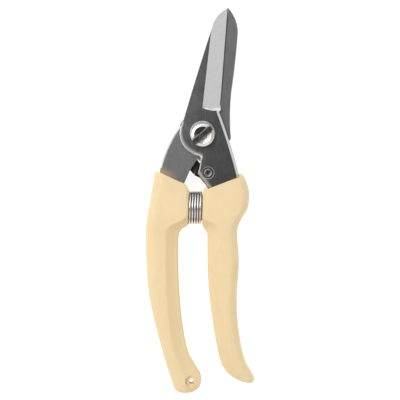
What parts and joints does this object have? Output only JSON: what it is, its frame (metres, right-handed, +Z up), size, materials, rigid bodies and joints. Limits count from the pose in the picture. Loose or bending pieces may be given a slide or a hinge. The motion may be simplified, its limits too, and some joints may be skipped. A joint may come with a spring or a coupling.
{
  "type": "floral snips",
  "caption": "Hand snips: two crossed steel blades on a slotted bolt, moulded grips with a coil spring between their lobes, and a hook latch.",
  "frame": {"origin": "middle of the closed tool's outline, on the plane that the grips rest on", "axes": "+Y along the tool towards the blade tips, +X across it towards the right grip, +Z up, out of the bolt's head"},
  "size_m": [0.052, 0.185, 0.018],
  "materials": {
    "blade_steel": "dark satin, brushed lengthwise, with brighter ground bevels",
    "grip_plastic": "matte cream moulded plastic with a fine skin",
    "polished_steel": "polished plate",
    "spring_steel": "bright drawn wire",
    "black_steel": "black, with the edges worn bright"
  },
  "bodies": {
    "right_half": {"front_blade": "blade_steel", "right_grip": "grip_plastic", "pivot_bolt": "polished_steel", "pivot_washer": "polished_steel", "pivot_spring_washer": "polished_steel", "pivot_nut": "polished_steel", "spring": "spring_steel", "latch_bush": "polished_steel", "latch_washer": "polished_steel", "latch_rivet": "polished_steel"},
    "left_half": {"rear_blade": "blade_steel", "left_grip": "grip_plastic", "catch_pin": "polished_steel"},
    "latch": {"latch_lever": "black_steel"}
  },
  "joints": [
    {"name": "blade_pivot", "type": "hinge", "parent": "right_half", "child": "left_half", "pos_m": [0.0012, 0.031, 0.009], "axis": [0, 0, -1], "range_deg": [0, 18], "deforming": ["spring"]},
    {"name": "latch_pivot", "type": "hinge", "parent": "right_half", "child": "latch", "pos_m": [0.00385, 0.013, 0.0051], "axis": [0, 0, 1], "range_deg": [0, 54]}
  ],
  "couplings": [
    {"joint": "latch_pivot", "follows": "blade_pivot", "ratio": 3}
  ]
}
